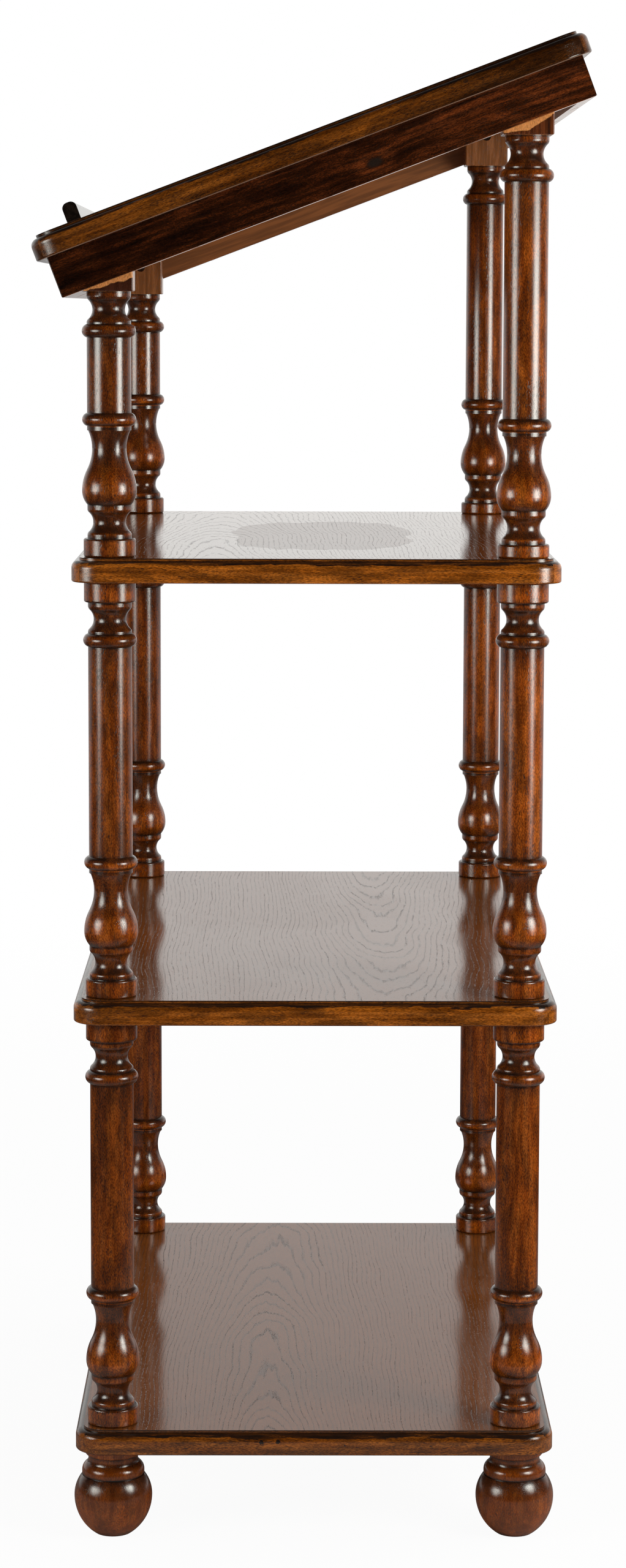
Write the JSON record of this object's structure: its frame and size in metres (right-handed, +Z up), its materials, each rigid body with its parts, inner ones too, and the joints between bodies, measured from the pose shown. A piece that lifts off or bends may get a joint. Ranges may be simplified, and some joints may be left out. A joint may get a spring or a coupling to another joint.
{
  "type": "reading stand",
  "caption": "Slant-topped wooden reading stand: moulded shelves on turned columns and bun feet carry an aproned desk with a ledge that holds an open book.",
  "frame": {"origin": "on the floor, under the middle of the stand's outline", "axes": "+X to the reader's right, +Y away from the reader to the desk's high side, +Z up"},
  "size_m": [0.73, 0.4516, 1.2451],
  "materials": {
    "turned_wood": "gloss lacquer over reddish-brown stain, dark in the grooves",
    "lipping_wood": "gloss lacquer over golden-brown stain",
    "veneer": "gloss lacquer over open-pored dark brown veneer",
    "core_panel": "satin, stained underside",
    "apron_wood": "gloss lacquer over very dark brown stain",
    "ledge_wood": "gloss lacquer, nearly black",
    "stud_steel": "plain",
    "screw_steel": "plain",
    "insert_brass": "plain"
  },
  "bodies": {
    "root": {"foot_front_left": "turned_wood", "foot_front_right": "turned_wood", "foot_rear_left": "turned_wood", "foot_rear_right": "turned_wood", "lower_column_front_left": "turned_wood", "lower_column_front_right": "turned_wood", "lower_column_rear_left": "turned_wood", "lower_column_rear_right": "turned_wood", "middle_column_front_left": "turned_wood", "middle_column_front_right": "turned_wood", "middle_column_rear_left": "turned_wood", "middle_column_rear_right": "turned_wood", "upper_column_front_left": "turned_wood", "upper_column_front_right": "turned_wood", "upper_column_rear_left": "turned_wood", "upper_column_rear_right": "turned_wood", "bottom_shelf_core": "core_panel", "bottom_shelf_veneer": "veneer", "bottom_shelf_lipping_front": "lipping_wood", "bottom_shelf_lipping_rear": "lipping_wood", "bottom_shelf_lipping_left": "lipping_wood", "bottom_shelf_lipping_right": "lipping_wood", "bottom_shelf_studs": "stud_steel", "middle_shelf_core": "core_panel", "middle_shelf_veneer": "veneer", "middle_shelf_lipping_front": "lipping_wood", "middle_shelf_lipping_rear": "lipping_wood", "middle_shelf_lipping_left": "lipping_wood", "middle_shelf_lipping_right": "lipping_wood", "middle_shelf_studs": "stud_steel", "upper_shelf_core": "core_panel", "upper_shelf_veneer": "veneer", "upper_shelf_lipping_front": "lipping_wood", "upper_shelf_lipping_rear": "lipping_wood", "upper_shelf_lipping_left": "lipping_wood", "upper_shelf_lipping_right": "lipping_wood", "upper_shelf_studs": "stud_steel", "foot_inserts": "insert_brass", "lower_column_inserts": "insert_brass", "middle_column_inserts": "insert_brass", "apron_front": "apron_wood", "apron_rear": "apron_wood", "apron_left": "apron_wood", "apron_right": "apron_wood", "desk_core": "core_panel", "desk_veneer": "veneer", "desk_lipping_front": "lipping_wood", "desk_lipping_rear": "lipping_wood", "desk_lipping_left": "lipping_wood", "desk_lipping_right": "lipping_wood", "book_ledge": "ledge_wood", "pommel_screws": "screw_steel", "apron_screws": "screw_steel", "ledge_screws": "screw_steel"}
  },
  "joints": []
}
